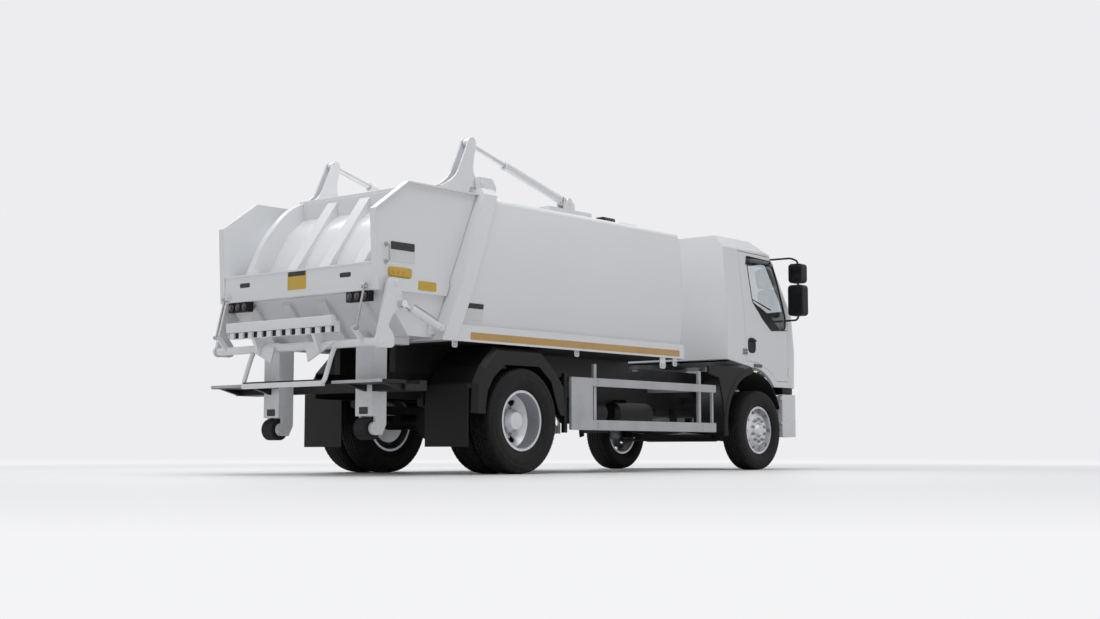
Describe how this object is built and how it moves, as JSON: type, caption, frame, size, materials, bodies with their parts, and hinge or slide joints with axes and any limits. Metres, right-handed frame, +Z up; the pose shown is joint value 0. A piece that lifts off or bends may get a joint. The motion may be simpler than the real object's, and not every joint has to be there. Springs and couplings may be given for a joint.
{
  "type": "rear-loading refuse truck",
  "caption": "Two-axle refuse collection truck with a day cab, smooth enclosed body, lifting tailgate hopper and a comb bin lifter at the back.",
  "frame": {"origin": "on the ground under the middle of the truck, halfway between the front face and the rearmost edge of the bin lifter", "axes": "+X forward to the cab, +Y to the truck's left, +Z up"},
  "size_m": [7.7928, 2.71, 3.268],
  "materials": {
    "white_paint": "gloss",
    "black_paint": "satin",
    "grey_guard": "satin",
    "tyre_rubber": "matte",
    "wheel_silver": "satin",
    "cast_grey": "satin",
    "glass": "clear",
    "lamp_red": "gloss",
    "lamp_clear": "gloss",
    "black_plastic": "satin",
    "seat_cloth": "woven",
    "chrome_rod": "polished",
    "roller_rubber": "matte"
  },
  "bodies": {
    "chassis": {"chassis_frame": "black_paint", "leaf_springs": "black_paint", "rear_axle": "black_paint", "front_axle": "black_paint", "engine_block": "cast_grey", "drive_shaft": "black_paint", "fuel_tank": "grey_guard", "air_tanks": "black_paint", "side_guards": "grey_guard", "rear_mudguards": "black_plastic", "front_mudguards": "black_plastic", "front_bumper": "white_paint", "headlamps": "lamp_clear", "body_floor": "white_paint", "body_sides": "white_paint", "body_roof": "white_paint", "body_front_wall": "white_paint", "body_rear_ring": "white_paint", "roof_rails": "white_paint"},
    "knuckle_left": {"knuckle_left": "black_paint"},
    "knuckle_right": {"knuckle_right": "black_paint"},
    "track_rod": {"track_rod": "black_paint"},
    "front_wheel_left": {"front_tyre_left": "tyre_rubber", "front_rim_left": "wheel_silver"},
    "front_wheel_right": {"front_tyre_right": "tyre_rubber", "front_rim_right": "wheel_silver"},
    "rear_wheels_left": {"rear_tyres_left": "tyre_rubber", "rear_rims_left": "wheel_silver"},
    "rear_wheels_right": {"rear_tyres_right": "tyre_rubber", "rear_rims_right": "wheel_silver"},
    "cab": {"cab_shell": "white_paint", "cab_roof": "white_paint", "cab_front_panel": "white_paint", "windscreen": "glass", "cab_seats": "seat_cloth", "dashboard": "black_plastic", "steering_wheel": "black_plastic"},
    "door_left": {"door_left": "white_paint", "door_glass_left": "glass", "mirrors_left": "black_plastic"},
    "door_right": {"door_right": "white_paint", "door_glass_right": "glass", "mirrors_right": "black_plastic"},
    "tailgate": {"tailgate_sides": "white_paint", "tailgate_hood": "white_paint", "tailgate_trough": "white_paint", "tail_lamps": "lamp_red", "guard_posts": "white_paint", "rear_steps": "black_paint"},
    "guard_rollers": {"guard_rollers": "roller_rubber"},
    "lift_barrels": {"lift_barrels": "white_paint"},
    "lift_rods": {"lift_rods": "chrome_rod"},
    "lifter_arms": {"lifter_arms": "white_paint"},
    "lifter_frame": {"lifter_frame": "white_paint"},
    "tilt_links": {"tilt_links": "white_paint"},
    "bin_barrels": {"bin_barrels": "white_paint"},
    "bin_rods": {"bin_rods": "chrome_rod"}
  },
  "joints": [
    {"name": "steer_left", "type": "hinge", "parent": "chassis", "child": "knuckle_left", "pos_m": [2.6465, 0.8, 0.475], "axis": [0, 0, 1], "range_deg": [-35, 35]},
    {"name": "steer_right", "type": "hinge", "parent": "chassis", "child": "knuckle_right", "pos_m": [2.6465, -0.8, 0.475], "axis": [0, 0, 1], "range_deg": [-35, 35]},
    {"name": "track_rod_swing", "type": "hinge", "parent": "knuckle_left", "child": "track_rod", "pos_m": [2.4165, 0.76, 0.362], "axis": [0, 0, 1], "range_deg": [-35, 35]},
    {"name": "front_left_spin", "type": "hinge", "parent": "knuckle_left", "child": "front_wheel_left", "pos_m": [2.6465, 1.025, 0.475], "axis": [0, 1, 0], "continuous": true},
    {"name": "front_right_spin", "type": "hinge", "parent": "knuckle_right", "child": "front_wheel_right", "pos_m": [2.6465, -1.025, 0.475], "axis": [0, 1, 0], "continuous": true},
    {"name": "rear_left_spin", "type": "hinge", "parent": "chassis", "child": "rear_wheels_left", "pos_m": [-1.7835, 0.915, 0.52], "axis": [0, 1, 0], "continuous": true},
    {"name": "rear_right_spin", "type": "hinge", "parent": "chassis", "child": "rear_wheels_right", "pos_m": [-1.7835, -0.915, 0.52], "axis": [0, 1, 0], "continuous": true},
    {"name": "cab_tilt", "type": "hinge", "parent": "chassis", "child": "cab", "pos_m": [3.7815, 0, 0.985], "axis": [0, 1, 0], "range_deg": [0, 45]},
    {"name": "door_left_swing", "type": "hinge", "parent": "cab", "child": "door_left", "pos_m": [3.4615, 1.062, 1.85], "axis": [0, 0, -1], "range_deg": [0, 65]},
    {"name": "door_right_swing", "type": "hinge", "parent": "cab", "child": "door_right", "pos_m": [3.4615, -1.062, 1.85], "axis": [0, 0, 1], "range_deg": [0, 65]},
    {"name": "tailgate_lift", "type": "hinge", "parent": "chassis", "child": "tailgate", "pos_m": [-2.2285, 0, 2.822], "axis": [0, 1, 0], "range_deg": [0, 75]},
    {"name": "lift_barrel_swing", "type": "hinge", "parent": "chassis", "child": "lift_barrels", "pos_m": [-0.8435, 0, 2.812], "axis": [0, 1, 0], "range_deg": [-2.24, 0]},
    {"name": "lift_rod_slide", "type": "slide", "parent": "lift_barrels", "child": "lift_rods", "axis": [0.9665, 0, -0.2565], "range_m": [0, 0.4986]},
    {"name": "guard_roller_spin", "type": "hinge", "parent": "tailgate", "child": "guard_rollers", "pos_m": [-3.3555, 0, 0.432], "axis": [0, 1, 0], "continuous": true},
    {"name": "lifter_raise", "type": "hinge", "parent": "tailgate", "child": "lifter_arms", "pos_m": [-3.4835, 0, 1.734], "axis": [0, 1, 0], "range_deg": [0, 100]},
    {"name": "lifter_tip", "type": "hinge", "parent": "lifter_arms", "child": "lifter_frame", "pos_m": [-3.6865, 0, 1.194], "axis": [0, 1, 0], "range_deg": [0, 19.64]},
    {"name": "tilt_link_swing", "type": "hinge", "parent": "tailgate", "child": "tilt_links", "pos_m": [-3.7285, 0, 1.7], "axis": [0, 1, 0], "range_deg": [0, 155.31]},
    {"name": "bin_barrel_swing", "type": "hinge", "parent": "tailgate", "child": "bin_barrels", "pos_m": [-2.9555, 0, 1.36], "axis": [0, 1, 0], "range_deg": [0, 5.42]},
    {"name": "bin_rod_slide", "type": "slide", "parent": "bin_barrels", "child": "bin_rods", "axis": [-0.9327, 0, 0.3607], "range_m": [0, 0.29118]}
  ],
  "couplings": [
    {"joint": "steer_right", "follows": "steer_left", "ratio": 1},
    {"joint": "track_rod_swing", "follows": "steer_left", "ratio": -1},
    {"joint": "lift_barrel_swing", "follows": "tailgate_lift", "ratio": -0.02986},
    {"joint": "lift_rod_slide", "follows": "tailgate_lift", "m_per_rad": 0.38015},
    {"joint": "lifter_tip", "follows": "lifter_raise", "ratio": 0.196},
    {"joint": "tilt_link_swing", "follows": "lifter_raise", "ratio": 1.55},
    {"joint": "bin_barrel_swing", "follows": "lifter_raise", "ratio": 0.05405},
    {"joint": "bin_rod_slide", "follows": "lifter_raise", "m_per_rad": 0.1665}
  ]
}
